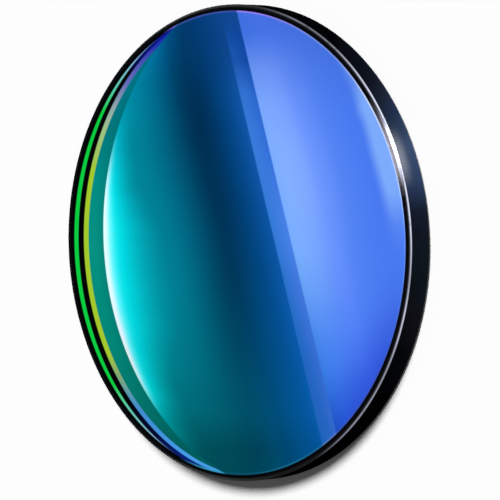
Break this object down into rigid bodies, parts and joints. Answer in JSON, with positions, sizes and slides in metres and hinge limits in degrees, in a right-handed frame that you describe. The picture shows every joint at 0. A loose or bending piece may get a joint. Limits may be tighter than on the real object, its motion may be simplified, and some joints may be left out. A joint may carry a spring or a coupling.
{
  "type": "optical bandpass filter",
  "caption": "Unmounted round optical bandpass filter: a bevelled glass disc with a coating on each face and a blackened edge.",
  "frame": {"origin": "centre of the rear face, on the optical axis, at the surface that the filter lies on", "axes": "+Z along the optical axis, out of the front coating"},
  "size_m": [0.0504, 0.0504, 0.0032],
  "materials": {
    "polished_glass": "polished, clear",
    "bandpass_coating": "dichroic mirror, teal to blue with the angle of view",
    "blocking_coating": "dichroic mirror, green to teal with the angle of view",
    "edge_lacquer": "gloss black lacquer"
  },
  "bodies": {
    "root": {"glass_substrate": "polished_glass", "front_coating": "bandpass_coating", "rear_coating": "blocking_coating", "edge_blackening": "edge_lacquer"}
  },
  "joints": []
}
